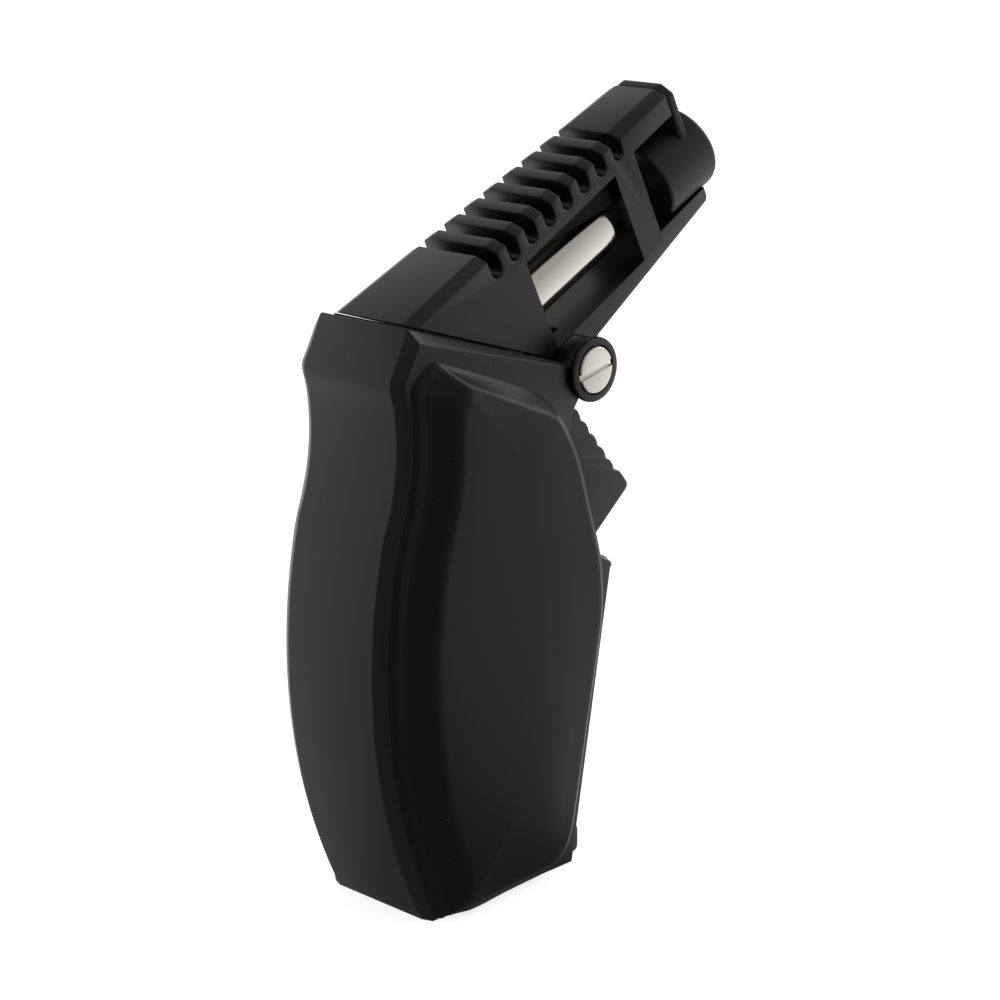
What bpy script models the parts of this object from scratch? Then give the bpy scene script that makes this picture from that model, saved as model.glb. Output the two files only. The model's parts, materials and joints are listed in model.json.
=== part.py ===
"""Butane torch with a tilting burner head: design model in metres, +Z up, +X the way the flame points."""
import math
import bpy
import bmesh
from mathutils import Matrix, Vector

MM = 0.001
GAP = 0.3                      # clearance between neighbouring pieces, mm

# Driving dimensions, mm and degrees
PIVOT_X, PIVOT_Z = 4.6, 88.0   # head hinge
HEAD_ANGLE = 27.0              # burner axis above horizontal
DECK_ANGLE = 17.67             # handle's top deck falls this much towards the hinge
BAND_HALF = 10.0               # half width of the back band
SIDE_HALF = 12.0               # half width of the frame's side faces
GRIP_HALF = 16.0               # half width over the grip covers
EDGE_CHAMFER = 2.0
FRAME_WALL = 2.5
EAR_R = 5.3                    # round ear of the frame at the hinge
EAR_INNER = 8.8
BURNER_N = 12.6                # burner axis above the hinge, across the head
SPARK_AT = (BURNER_N + 4.9, 2.4)   # electrode: across the head, and sideways
FIN_PITCH, FIN_SLOT, SLOT_COUNT, FIRST_SLOT = 4.93, 2.6, 8, -8.3
PRESS_ANGLE = 39.7             # trigger slides down and back at this angle
TRIGGER_TIP = (19.1, 64.4)
TRIGGER_HALF = 8.5
TRIGGER_LENGTH = 23.3          # along the pressed face
TRIGGER_DEPTH = 13.0
TRIGGER_TRAVEL = 4.5
TANK_HALF = 9.2
TANK_Z = (4.7, 44.0)
REFILL_X, OUTLET_X, ADJUSTER_X, BASE_SCREW_X = -23.0, -20.0, -6.5, -14.5
COVER_POSTS = ((-25.5, 83.0), (-1.0, 48.0), (-31.0, 51.5))
ROUND = 20                     # facets round a turned piece
LEVER_PIVOT = (-12.0, 58.0)    # gas lever's pin

PIVOT = Vector((PIVOT_X, 0, PIVOT_Z))
AXIS_S = Vector((math.cos(math.radians(HEAD_ANGLE)), 0, math.sin(math.radians(HEAD_ANGLE))))
AXIS_N = Vector((-AXIS_S.z, 0, AXIS_S.x))
PULL = Vector((math.cos(math.radians(PRESS_ANGLE)), 0, math.sin(math.radians(PRESS_ANGLE))))
FACE = Vector((PULL.z, 0, -PULL.x))
ACROSS = Vector((0, 1, 0))


# ---------------------------------------------------------------- shapes

def arc(start, middle, end, steps):
    """Points on the circle through three points, without the last one."""
    (ax, az), (bx, bz), (cx, cz) = start, middle, end
    d = 2 * (ax * (bz - cz) + bx * (cz - az) + cx * (az - bz))
    a2, b2, c2 = ax * ax + az * az, bx * bx + bz * bz, cx * cx + cz * cz
    ox = (a2 * (bz - cz) + b2 * (cz - az) + c2 * (az - bz)) / d
    oz = (a2 * (cx - bx) + b2 * (ax - cx) + c2 * (bx - ax)) / d
    radius = math.hypot(ax - ox, az - oz)
    first, mid, last = (math.atan2(z - oz, x - ox) for x, z in (start, middle, end))
    turn = (last - first) % (2 * math.pi)
    if (mid - first) % (2 * math.pi) > turn:
        turn -= 2 * math.pi
    return [(ox + radius * math.cos(first + turn * i / steps),
             oz + radius * math.sin(first + turn * i / steps)) for i in range(steps)]


def circle_points(centre, radius, first, last, steps):
    """Points on a circle between two angles in degrees, ends included."""
    return [(centre[0] + radius * math.cos(math.radians(first + (last - first) * i / steps)),
             centre[1] + radius * math.sin(math.radians(first + (last - first) * i / steps)))
            for i in range(steps + 1)]


def inset(outline, distance):
    """Move every point of a closed outline inwards; distance is one number or one for each point."""
    count = len(outline)
    area = sum(outline[i][0] * outline[(i + 1) % count][1] - outline[(i + 1) % count][0] * outline[i][1]
               for i in range(count))
    side = 1 if area > 0 else -1
    moved = []
    for i, (x, z) in enumerate(outline):
        step = distance if isinstance(distance, (int, float)) else distance[i]
        before, after = outline[i - 1], outline[(i + 1) % count]
        d1 = Vector((x - before[0], z - before[1])).normalized()
        d2 = Vector((after[0] - x, after[1] - z)).normalized()
        n1, n2 = Vector((-d1.y, d1.x)) * side, Vector((-d2.y, d2.x)) * side
        mitre = (n1 + n2) / max(1 + n1.dot(n2), 0.4)
        moved.append((x + mitre.x * step, z + mitre.y * step))
    return moved


def loft(levels):
    """Closed solid through equal outlines in XZ, each at its own Y."""
    mesh = bmesh.new()
    rings = [[mesh.verts.new((x, y, z)) for x, z in outline] for y, outline in levels]
    count = len(rings[0])
    for lower, upper in zip(rings, rings[1:]):
        for i in range(count):
            j = (i + 1) % count
            mesh.faces.new((lower[i], lower[j], upper[j], upper[i]))
    mesh.faces.new(rings[0][::-1])
    mesh.faces.new(rings[-1])
    bmesh.ops.recalc_face_normals(mesh, faces=mesh.faces)
    return mesh


def prism(outline, low, high):
    return loft([(low, outline), (high, outline)])


def block(centre, size, turn=None):
    """Box of the given size; turn is a 3x3 matrix whose columns are its own axes."""
    mesh = bmesh.new()
    bmesh.ops.create_cube(mesh, size=1.0)
    bmesh.ops.scale(mesh, vec=size, verts=mesh.verts)
    if turn is not None:
        bmesh.ops.rotate(mesh, matrix=turn, verts=mesh.verts)
    bmesh.ops.translate(mesh, vec=centre, verts=mesh.verts)
    return mesh


def turned(profile, origin, axis, ring=False, facets=ROUND):
    """Solid of revolution; profile is (radius, height) pairs. A ring's profile closes on itself."""
    axis = Vector(axis).normalized()
    side = axis.orthogonal().normalized()
    other = axis.cross(side)
    mesh = bmesh.new()
    rows = []
    flat_start = not ring and profile[0][1] == profile[1][1]
    flat_end = not ring and profile[-1][1] == profile[-2][1]
    for radius, height in profile[flat_start:len(profile) - flat_end]:
        centre = Vector(origin) + axis * height
        if radius == 0:
            rows.append([mesh.verts.new(centre)])
            continue
        rows.append([mesh.verts.new(centre + side * radius * math.cos(2 * math.pi * k / facets)
                                    + other * radius * math.sin(2 * math.pi * k / facets))
                     for k in range(facets)])
    pairs = list(zip(rows, rows[1:]))
    if ring:
        pairs.append((rows[-1], rows[0]))
    for one, two in pairs:
        for k in range(facets):
            m = (k + 1) % facets
            corners = [one[k % len(one)], one[m % len(one)], two[m % len(two)], two[k % len(two)]]
            mesh.faces.new(list(dict.fromkeys(corners)))
    if flat_start:
        mesh.faces.new(rows[0])
    if flat_end:
        mesh.faces.new(rows[-1])
    bmesh.ops.recalc_face_normals(mesh, faces=mesh.faces)
    return mesh


def rod(radius, start, end, facets=ROUND):
    start, end = Vector(start), Vector(end)
    length = (end - start).length
    return turned([(0, 0), (radius, 0), (radius, length), (0, length)], start, end - start, facets=facets)


def pipe(outer, inner, start, end, facets=ROUND):
    start, end = Vector(start), Vector(end)
    length = (end - start).length
    return turned([(outer, 0), (outer, length), (inner, length), (inner, 0)], start, end - start,
                  ring=True, facets=facets)


def head_point(s, n, y=0.0):
    """A place in the head: s along the burner axis from the hinge, n across it, y sideways."""
    return PIVOT + AXIS_S * s + AXIS_N * n + ACROSS * y


def trigger_point(p, q, y=0.0):
    """A place on the trigger: p down its pressed face from the tip, q outwards."""
    return Vector((TRIGGER_TIP[0], 0, TRIGGER_TIP[1])) + FACE * p + PULL * q + ACROSS * y


def flat(point):
    return point.x, point.z


# ---------------------------------------------------------------- objects

def material(name, colour, roughness, metallic=0.0):
    item = bpy.data.materials.new(name)
    item.use_nodes = True
    shader = item.node_tree.nodes["Principled BSDF"]
    shader.inputs["Base Color"].default_value = (*colour, 1.0)
    shader.inputs["Roughness"].default_value = roughness
    shader.inputs["Metallic"].default_value = metallic
    return item


def add(name, mesh, finish, smooth=30.0):
    """Make a named object from a bmesh in millimetres."""
    bmesh.ops.scale(mesh, vec=(MM, MM, MM), verts=mesh.verts)
    data = bpy.data.meshes.new(name)
    mesh.to_mesh(data)
    mesh.free()
    data.shade_smooth()
    data.set_sharp_from_angle(angle=math.radians(smooth))
    item = bpy.data.objects.new(name, data)
    bpy.context.collection.objects.link(item)
    item.data.materials.append(finish)
    return item


def shape(target, operation, tools):
    """Join or cut the target with helper solids that are not pieces themselves."""
    for number, mesh in enumerate(tools):
        helper = add(f"{target.name}_{operation.lower()}_{number}", mesh, target.data.materials[0])
        helper.hide_render = True
        helper.display_type = "WIRE"
        change = target.modifiers.new(helper.name, "BOOLEAN")
        change.operation = operation
        change.solver = "EXACT"
        change.object = helper


def hose(name, points, radius, finish, steps=5, resolution=2):
    """A flexible line through a few points, smoothed and capped."""
    path = []
    ends = [points[0]] + list(points) + [points[-1]]
    for i in range(1, len(ends) - 2):
        p0, p1, p2, p3 = (Vector(ends[i + k]) for k in (-1, 0, 1, 2))
        for k in range(steps):
            t = k / steps
            path.append(0.5 * ((2 * p1) + (p2 - p0) * t + (2 * p0 - 5 * p1 + 4 * p2 - p3) * t * t
                               + (3 * p1 - p0 - 3 * p2 + p3) * t ** 3))
    path.append(Vector(points[-1]))
    curve = bpy.data.curves.new(name, "CURVE")
    curve.dimensions = "3D"
    curve.bevel_depth = radius * MM
    curve.bevel_resolution = resolution
    curve.use_fill_caps = True
    spline = curve.splines.new("POLY")
    spline.points.add(len(path) - 1)
    for slot, place in zip(spline.points, path):
        slot.co = (*(place * MM), 1.0)
    item = bpy.data.objects.new(name, curve)
    bpy.context.collection.objects.link(item)
    curve.materials.append(finish)
    return item


def hang(name, place, pieces):
    """Hang finished pieces that move together on an empty on their joint's axis; they stay where they are."""
    axis = bpy.data.objects.new(name, None)
    axis.location = Vector(place) * MM
    bpy.context.collection.objects.link(axis)
    for piece in pieces:
        item = bpy.data.objects[piece]
        item.parent = axis
        item.location = -axis.location


# ---------------------------------------------------------------- handle outlines

def deck_z(x, drop=0.35):
    """Height of the handle's top deck, which points at the hinge."""
    return PIVOT_Z - drop + math.tan(math.radians(DECK_ANGLE)) * (PIVOT_X - x)


BACK_FOOT, BELLY, WAIST_FOOT = (-34.0, 0.0), (-44.5, 43.0), (-41.4, 68.0)
WAIST, SHOULDER, DECK_BACK = (-38.5, 83.0), (-39.7, 92.2), (-35.9, 100.55)
CHIN = (11.9, 52.0)
FRONT_FOOT = (2.3, 0.0)


def back_line():
    """From the foot up the belly, the waist and the shoulder."""
    return (arc(BACK_FOOT, BELLY, WAIST_FOOT, 12) + arc(WAIST_FOOT, WAIST, SHOULDER, 7)
            + [SHOULDER, (-38.35, 95.3)])


def frame_outline():
    ear_start = 180 - DECK_ANGLE
    ear = circle_points((PIVOT_X, PIVOT_Z), EAR_R, ear_start, -115, 14)
    trigger_edge = [(0.6, 80.8), (0.1, 78.0), (0.7, 74.8), (3.0, 66.5), (5.6, 59.2), (7.4, 55.4)]
    chin = [(9.4, 54.1), (10.8, 53.7), (11.7, 52.9), CHIN]
    return back_line() + [DECK_BACK] + ear + trigger_edge + chin + [FRONT_FOOT]


def frame_edges():
    """Chamfer of each point of the frame's outline."""
    back = len(back_line())
    sizes = [EDGE_CHAMFER] * (back + 1) + [EDGE_CHAMFER * 0.9] + [0.5] * 14
    sizes += [0.5] * 6 + [0.6, 0.7, 1.2, EDGE_CHAMFER * 0.8, EDGE_CHAMFER * 0.8]
    return sizes


def cavity_outline():
    """Inside of the frame's ring, where the tank and the valve gear sit."""
    back = inset(back_line() + [DECK_BACK, (0.0, 50.0)], FRAME_WALL)[:len(back_line())]
    back = [point for point in back if point[1] > 5.0]
    return ([(back[0][0] + 1.3, 3.2)] + back
            + [(-34.2, deck_z(-34.2) - 3.3), (-5.5, deck_z(-5.5) - 3.3), (-3.4, 84.0), (-3.4, 76.5),
               (-0.5, 66.0), (2.2, 58.5), (4.4, 52.6), (8.6, 49.4), (0.5, 3.2)])


def raised_pairs():
    """Foot and crest of the raised grip panel, point by point, from the foot at the back upwards."""
    back = back_line()
    whole = back + [DECK_BACK, (8.0, 60.0), FRONT_FOOT]
    foot = inset(whole, 4.2)[1:len(back) - 1]
    crest = inset(whole, 9.2)[1:len(back) - 1]
    pairs = [((-30.6, 2.0), (-26.5, 5.6))]
    pairs += [(a, b) for a, b in zip(foot, crest) if 3.5 < a[1] < 89.0]
    pairs += [((-35.0, 90.5), (-29.0, 87.7)), ((-33.4, 93.6), (-28.6, 90.2)), ((-30.8, 94.9), (-26.8, 90.9)),
              ((-20.6, 91.2), (-18.3, 86.6)), ((-9.2, 86.3), (-8.4, 82.0)), ((-4.6, 82.6), (-5.4, 79.0)),
              ((-2.0, 78.0), (-3.0, 75.0)), ((0.3, 71.2), (-0.9, 69.6)), ((3.0, 62.6), (1.6, 61.6)),
              ((5.2, 54.4), (3.6, 54.0)), ((6.0, 47.0), (4.3, 47.0)), ((3.9, 33.6), (2.3, 33.6)),
              ((-0.3, 11.4), (-2.0, 12.0)), ((-2.2, 4.6), (-4.2, 6.6)), ((-6.4, 2.0), (-8.0, 5.0))]
    return pairs


# ---------------------------------------------------------------- handle pieces

def build_frame(finish):
    outline = frame_outline()
    edge = inset(outline, frame_edges())
    edge = [(x, 0.0 if i in (0, len(outline) - 1) else z) for i, (x, z) in enumerate(edge)]
    frame = add("handle_frame", loft([(-SIDE_HALF, edge), (-BAND_HALF, outline),
                                      (BAND_HALF, outline), (SIDE_HALF, edge)]), finish)
    pocket = circle_points((PIVOT_X, PIVOT_Z), EAR_R + 0.5, 0, 350, 35)
    channel = [(-9.0, 83.0), (-9.0, 87.0), (-6.0, 94.0), (5.0, 92.0), (5.0, 84.5), (-1.0, 79.0)]
    deepest = -TRIGGER_DEPTH - TRIGGER_TRAVEL - 0.8
    upper_end = -TRIGGER_LENGTH - 0.8
    mouth = [flat(trigger_point(p, q)) for p, q in ((upper_end, deepest), (upper_end, 8.0), (0.8, 8.0),
                                                    (0.8, deepest))]
    floor = (FRONT_FOOT[0] - BACK_FOOT[0]) / 2 + 2.5
    cuts = [prism(cavity_outline(), -SIDE_HALF - 2, SIDE_HALF + 2),
            prism(pocket, -EAR_INNER, EAR_INNER),
            prism(channel, -4.2, 4.2),
            prism(mouth, -TRIGGER_HALF - 0.4, TRIGGER_HALF + 0.4),
            block((-12.5 + 0.2, 0, 1.0), (2 * floor - 1.5, 19.6, 6.0)),
            block((3.0, 0, 1.2), (10.0, 19.6, 9.8)),
            rod(2.1, (PIVOT_X, -SIDE_HALF - 2, PIVOT_Z), (PIVOT_X, SIDE_HALF + 2, PIVOT_Z))]
    shape(frame, "DIFFERENCE", cuts)
    return frame


def cover(name, side, finish):
    """Grip cover: a raised, crowned panel with a spigot that drops into the frame."""
    pairs = raised_pairs()
    foot, crest = [a for a, b in pairs], [b for a, b in pairs]
    flat_top = inset(crest, 1.2)
    low, high = SIDE_HALF + GAP, GRIP_HALF
    panel = add(name, loft([(side * low, foot), (side * (low + 0.5), inset(foot, 0.15)),
                            (side * (high - 0.45), crest), (side * high, flat_top)]), finish)
    spigot = prism(inset(cavity_outline(), GAP + 0.1), side * (low - 2.6), side * (low + 0.8))
    hollow = prism(inset(cavity_outline(), 2.2), side * (low - 3.2), side * (low + 0.2))
    dome = loft([(side * (low + 0.1), inset(crest, 0.4)), (side * (high - 1.9), inset(crest, 1.2))])
    shape(panel, "UNION", [spigot])
    shape(panel, "DIFFERENCE", [hollow, dome])
    return panel


def build_covers(finish):
    right = cover("right_cover", -1, finish)
    left = cover("left_cover", 1, finish)
    posts, bores, bosses, holes = [], [], [], []
    for x, z in COVER_POSTS:
        posts.append(rod(2.6, (x, -GRIP_HALF + 1.0, z), (x, 9.0, z), 16))
        bosses.append(rod(3.7, (x, 9.4, z), (x, GRIP_HALF - 1.2, z), 20))
        bores.append(rod(1.35, (x, -GRIP_HALF + 2.4, z), (x, 12.0, z), 12))
        step = GRIP_HALF - 3.0
        hole = [(0, 8.0), (1.35, 8.0), (1.35, step), (2.8, step), (2.8, step + 5.0), (0, step + 5.0)]
        holes.append(turned(hole, (x, 0, z), ACROSS, facets=16))
    shape(right, "UNION", posts)
    shape(right, "DIFFERENCE", bores)
    shape(left, "UNION", bosses)
    shape(left, "DIFFERENCE", holes)


def build_cover_screws(finish):
    for number, (x, z) in enumerate(COVER_POSTS, 1):
        head = GRIP_HALF - 3.0 + GAP
        profile = [(0, -17.0), (0.7, -17.0), (1.0, -16.0), (1.0, 0.0), (2.4, 0.0), (2.4, 1.2), (2.0, 1.6),
                   (0, 1.6)]
        screw = add(f"cover_screw_{number}", turned(profile, (x, head, z), ACROSS, facets=20), finish)
        cross = [block((x, head + 1.6, z), (2.6, 1.6, 0.6)), block((x, head + 1.6, z), (0.6, 1.6, 2.6))]
        shape(screw, "DIFFERENCE", cross)


def build_base(finish):
    """Plate that closes the bottom of the frame, with a rounded lip at the front."""
    lip = [(-31.6, 0.0), (-31.6, 2.6), (-0.6, 2.6), (0.3, 5.6), (4.2, 5.6), (5.2, 5.0), (5.5, 4.2), (5.5, 0.9),
           (5.2, 0.2), (4.6, 0.0)]
    plate = add("base_plate", prism(lip, -9.5, 9.5), finish)
    cuts = [rod(3.5, (REFILL_X, 0, -1), (REFILL_X, 0, 4))]
    for x, outer, inner, step in ((ADJUSTER_X, 4.9, 2.0, 1.7), (BASE_SCREW_X, 2.6, 1.3, 1.4)):
        hole = [(0, -1.0), (outer, -1.0), (outer, step), (inner, step), (inner, 4.0), (0, 4.0)]
        cuts.append(turned(hole, (x, 0, 0), (0, 0, 1)))
    shape(plate, "DIFFERENCE", cuts)


def build_base_screw(steel):
    profile = [(0, 4.4), (1.0, 4.4), (1.0, 1.1), (2.3, 1.1), (2.3, 0.3), (0, 0.3)]
    screw = add("base_screw", turned(profile, (BASE_SCREW_X, 0, 0), (0, 0, 1)), steel)
    shape(screw, "DIFFERENCE", [block((BASE_SCREW_X, 0, 0.2), size, None)
                                for size in ((2.8, 0.6, 1.0), (0.6, 2.8, 1.0))])


def build_flame_adjuster(brass):
    """Slotted dial in the base that turns the flame up and down."""
    profile = [(0, 3.2), (1.6, 3.2), (1.6, 1.3), (4.6, 1.3), (4.6, 0.5), (0, 0.5)]
    dial = add("flame_adjuster", turned(profile, (ADJUSTER_X, 0, 0), (0, 0, 1)), brass)
    shape(dial, "DIFFERENCE", [block((ADJUSTER_X, 0, 0.3), (6.4, 1.2, 1.0))])


def build_tank(finish):
    outline = [point for point in inset(back_line() + [DECK_BACK, (4.0, 60.0), FRONT_FOOT], 3.5)
               if TANK_Z[0] + 1.5 < point[1] < TANK_Z[1]]
    outline = ([(outline[0][0] + 2.0, TANK_Z[0])] + outline
               + [(outline[-1][0], TANK_Z[1]), (-1.5, TANK_Z[1]), (1.6, TANK_Z[1] - 4.0), (-4.2, TANK_Z[0])])
    tank = add("fuel_tank", prism(outline, -TANK_HALF, TANK_HALF), finish)
    inner = prism(inset(outline, 1.6), -TANK_HALF + 1.6, TANK_HALF - 1.6)
    shape(tank, "DIFFERENCE", [inner, rod(3.4, (REFILL_X, 0, 3), (REFILL_X, 0, 8)),
                               rod(3.6, (OUTLET_X, 0, 41), (OUTLET_X, 0, 46))])


def build_refill_valve(brass, steel, seal):
    body = [(3.0, 0.8), (3.0, 12.5), (2.4, 13.2), (1.4, 13.2), (1.4, 12.4), (2.3, 12.2), (2.3, 5.6), (1.3, 5.2),
            (1.3, 0.8)]
    add("refill_valve_body", turned(body, (REFILL_X, 0, 0), (0, 0, 1), ring=True), brass)
    stem = [(0, 0.5), (0.9, 0.5), (0.9, 6.2), (1.9, 6.2), (1.9, 7.2), (0.9, 7.2), (0.9, 11.4), (0, 11.4)]
    add("refill_stem", turned(stem, (REFILL_X, 0, 0), (0, 0, 1), facets=16), steel)
    turns = []
    for k in range(41):
        angle = 2 * math.pi * k / 10
        turns.append((REFILL_X + 1.55 * math.cos(angle), 1.55 * math.sin(angle), 7.8 + 3.8 * k / 40))
    hose("refill_spring", turns, 0.22, steel, steps=1, resolution=0)
    ring = [(3.3, 3.4), (3.3, 4.3), (3.9, 4.3), (3.9, 3.4)]
    add("refill_seal", turned(ring, (REFILL_X, 0, 0), (0, 0, 1), ring=True), seal)


def build_outlet_valve(brass, steel, seal):
    body = [(0.9, 38.0), (3.2, 38.0), (3.2, 45.0), (4.6, 45.0), (4.6, 46.6), (3.0, 47.0), (3.0, 51.0),
            (1.2, 51.0), (1.2, 41.0), (0.9, 40.0)]
    add("outlet_valve_body", turned(body, (OUTLET_X, 0, 0), (0, 0, 1), ring=True), brass)
    stem = [(0, 42.0), (0.85, 42.0), (0.85, 54.6), (1.9, 54.8), (1.9, 55.6), (1.0, 55.8), (1.0, 58.0), (0, 58.0)]
    add("outlet_stem", turned(stem, (OUTLET_X, 0, 0), (0, 0, 1), facets=16), steel)
    ring = [(3.6, 44.3), (3.6, 44.7), (4.4, 44.7), (4.4, 44.3)]
    add("outlet_seal", turned(ring, (OUTLET_X, 0, 0), (0, 0, 1), ring=True), seal)


def build_gas_lever(plastic, steel):
    """Rocker whose rear fork lifts the outlet stem when the trigger presses its front arms."""
    px, pz = LEVER_PIVOT
    arm = [(-23.2, 53.0), (-23.2, 54.3), (-17.0, 55.6), (px - 2.4, pz + 1.4), (px, pz + 2.5),
           (px + 2.4, pz + 2.6), (-2.4, 63.0), (-1.0, 62.4), (-1.6, 60.6), (px + 2.6, pz - 1.4), (px, pz - 2.4),
           (-16.6, 53.6)]
    bridge = [(-24.0, 53.0), (-24.0, 54.3), (-16.2, 54.3), (-16.2, 53.0)]
    lever = add("gas_lever", prism(arm, -5.6, -4.1), plastic)
    shape(lever, "UNION", [prism(arm, 4.1, 5.6), prism(bridge, -5.6, 5.6)])
    shape(lever, "DIFFERENCE", [rod(1.35, (px, -8, pz), (px, 8, pz), 16),
                                block((OUTLET_X - 1.5, 0, 53.6), (7.4, 2.7, 4.0))])
    add("lever_pin", rod(1.0, (px, -8.2, pz), (px, 8.2, pz), 16), steel)


def build_trigger(plastic, white, dark):
    outline = [flat(trigger_point(-TRIGGER_LENGTH, -TRIGGER_DEPTH)), flat(trigger_point(-TRIGGER_LENGTH, -1.2))]
    notches = [-22.1 + 3.4 * k for k in range(6)]
    for low, high in zip(notches, notches[1:]):
        outline += arc(flat(trigger_point(low, -1.0)), flat(trigger_point((low + high) / 2, -0.2)),
                       flat(trigger_point(high, -1.0)), 4)
    outline += [flat(trigger_point(-5.1, -1.0)), flat(trigger_point(-4.2, -0.1)), flat(trigger_point(-2.4, 0.0))]
    outline += arc(flat(trigger_point(-1.9, 0.0)), flat(trigger_point(-0.45, -0.45)),
                   flat(trigger_point(0.0, -1.9)), 4)
    outline += [flat(trigger_point(0.0, -1.9)), flat(trigger_point(0.0, -TRIGGER_DEPTH))]
    trigger = add("trigger", prism(outline, -TRIGGER_HALF, TRIGGER_HALF), plastic)
    frame = Matrix((FACE, ACROSS, PULL)).transposed()
    middle = trigger_point(-TRIGGER_LENGTH / 2, -TRIGGER_DEPTH / 2 - 2.4)
    hollow = (TRIGGER_LENGTH - 3.6, 2 * TRIGGER_HALF - 3.4, TRIGGER_DEPTH)
    shape(trigger, "DIFFERENCE", [block(middle, hollow, frame)])
    shape(trigger, "UNION", [block(trigger_point(-9.0, -3.2), (5.6, 5.0, 3.2), frame)])
    plunger = add("piezo_plunger", block(trigger_point(-9.0, -8.4), (6.2, 3.8, 6.6), frame), dark)
    shape(plunger, "UNION", [block(trigger_point(-9.0, -13.0), (5.4, 3.0, 11.0), frame)])
    body = add("piezo_body", block(trigger_point(-9.0, -24.6), (8.6, 5.6, 15.2), frame), white)
    shape(body, "DIFFERENCE", [block(trigger_point(-9.0, -20.4), (6.2, 3.7, 12.0), frame)])


def build_hinge(black, steel):
    """Black collars and slotted screws at the crook; the screws turn with the head."""
    for name, side in (("right", -1), ("left", 1)):
        origin = (PIVOT_X, 0, PIVOT_Z)
        out = (0, side, 0)
        collar = [(2.2, 12.3), (5.2, 12.3), (5.55, 12.6), (5.55, 14.2), (5.1, 14.8), (4.3, 14.8), (4.3, 13.1),
                  (2.2, 13.1)]
        add(f"pivot_collar_{name}", turned(collar, origin, out, ring=True, facets=28), black)
        profile = [(0, 4.6), (1.75, 4.6), (1.75, 13.4), (3.95, 13.4), (3.95, 14.9), (3.6, 15.2), (0, 15.3)]
        screw = add(f"pivot_screw_{name}", turned(profile, origin, out, facets=28), steel)
        shape(screw, "DIFFERENCE", [block((PIVOT_X, side * 15.4, PIVOT_Z), (9.0, 1.6, 1.2),
                                          Matrix.Rotation(math.radians(-14), 3, "Y"))])


# ---------------------------------------------------------------- head pieces

def head_half(s):
    return 8.2 - 0.04 * s


def head_top_half(s):
    return 6.05 - 0.042 * s


def head_top(s):
    return 28.7 - 0.014 * s


HEAD_BACK = (-29.2, 29.1)
HEAD_FRONT_S = 41.5
RAIL_FRONT_S = 43.6


def head_block():
    """Outer form of the head: tapered sides, chamfered top and a round tongue at the hinge."""
    deck = 180 - DECK_ANGLE - HEAD_ANGLE
    tongue = circle_points((0, 0), 4.9, -4, deck - 360 - 2, 16)
    lower = [(RAIL_FRONT_S - 0.5, 4.4), (8.0, 0.75)] + tongue
    front = [(HEAD_FRONT_S, 14.0), (RAIL_FRONT_S, 14.0), (RAIL_FRONT_S, 5.2)]
    rim = ([(HEAD_FRONT_S, head_top(HEAD_FRONT_S) - 1.6)] + front + lower
           + [(HEAD_BACK[0] + 1.5, HEAD_BACK[1] - 1.6)])
    mesh = bmesh.new()
    sides = []
    for side in (-1, 1):
        ring = [mesh.verts.new(head_point(s, n, side * head_half(s))) for s, n in rim]
        crest = [mesh.verts.new(head_point(s, head_top(s), side * head_top_half(s)))
                 for s in (HEAD_BACK[0], HEAD_FRONT_S)]
        mesh.faces.new(ring)
        mesh.faces.new((crest[0], crest[1], ring[0], ring[-1]))
        sides.append((ring, crest))
    (ring_a, crest_a), (ring_b, crest_b) = sides
    for i in range(len(rim) - 1):
        mesh.faces.new((ring_a[i], ring_a[i + 1], ring_b[i + 1], ring_b[i]))
    mesh.faces.new((crest_a[0], crest_a[1], crest_b[1], crest_b[0]))
    mesh.faces.new((crest_a[1], ring_a[0], ring_b[0], crest_b[1]))
    mesh.faces.new((crest_a[0], ring_a[-1], ring_b[-1], crest_b[0]))
    bmesh.ops.recalc_face_normals(mesh, faces=mesh.faces)
    return mesh


def head_prism(outline, half):
    """Prism across the head; half is its half width, one number or a function of s."""
    width = half if callable(half) else (lambda s: half)
    mesh = bmesh.new()
    rings = [[mesh.verts.new(head_point(s, n, side * width(s))) for s, n in outline] for side in (-1, 1)]
    count = len(outline)
    for i in range(count):
        j = (i + 1) % count
        mesh.faces.new((rings[0][i], rings[0][j], rings[1][j], rings[1][i]))
    mesh.faces.new(rings[0][::-1])
    mesh.faces.new(rings[1])
    bmesh.ops.recalc_face_normals(mesh, faces=mesh.faces)
    return mesh


def build_head(finish):
    head = add("head_housing", head_block(), finish)
    through = 14.0
    window = [(-1.9, 5.0), (-1.9, 22.3), (23.8, 22.3), (23.8, 5.0)]
    mouth = [(29.7, 6.9), (29.7, 23.2), (50.0, 23.2), (50.0, 6.9)]
    room = [(-2.4, 4.6), (-2.4, 22.6), (36.0, 22.6), (36.0, 4.6)]
    neck = [(-7.0, 4.5), (-6.5, -4.5), (-2.6, -6.5), (3.4, -5.5), (3.6, 1.2), (3.0, 8.0), (-6.0, 16.0),
            (-9.6, 14.0), (-9.6, 8.6)]
    cuts = [head_prism(window, through), head_prism(mouth, through),
            head_prism(room, lambda s: head_half(s) - 1.5), head_prism(neck, 3.9),
            rod(4.7, head_point(-9.0, BURNER_N), head_point(2.0, BURNER_N)),
            rod(8.45, head_point(33.6, BURNER_N), head_point(52.0, BURNER_N), 40),
            rod(1.75 + GAP, head_point(0, 0, -through), head_point(0, 0, through), 20)]
    for k in range(SLOT_COUNT):
        middle = FIRST_SLOT + FIN_PITCH * k
        low, high = middle - FIN_SLOT / 2, middle + FIN_SLOT / 2
        cuts.append(head_prism([(low, 24.0), (high, 24.0), (high, 32.0), (low, 32.0)], through))
    shape(head, "DIFFERENCE", cuts)


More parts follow.
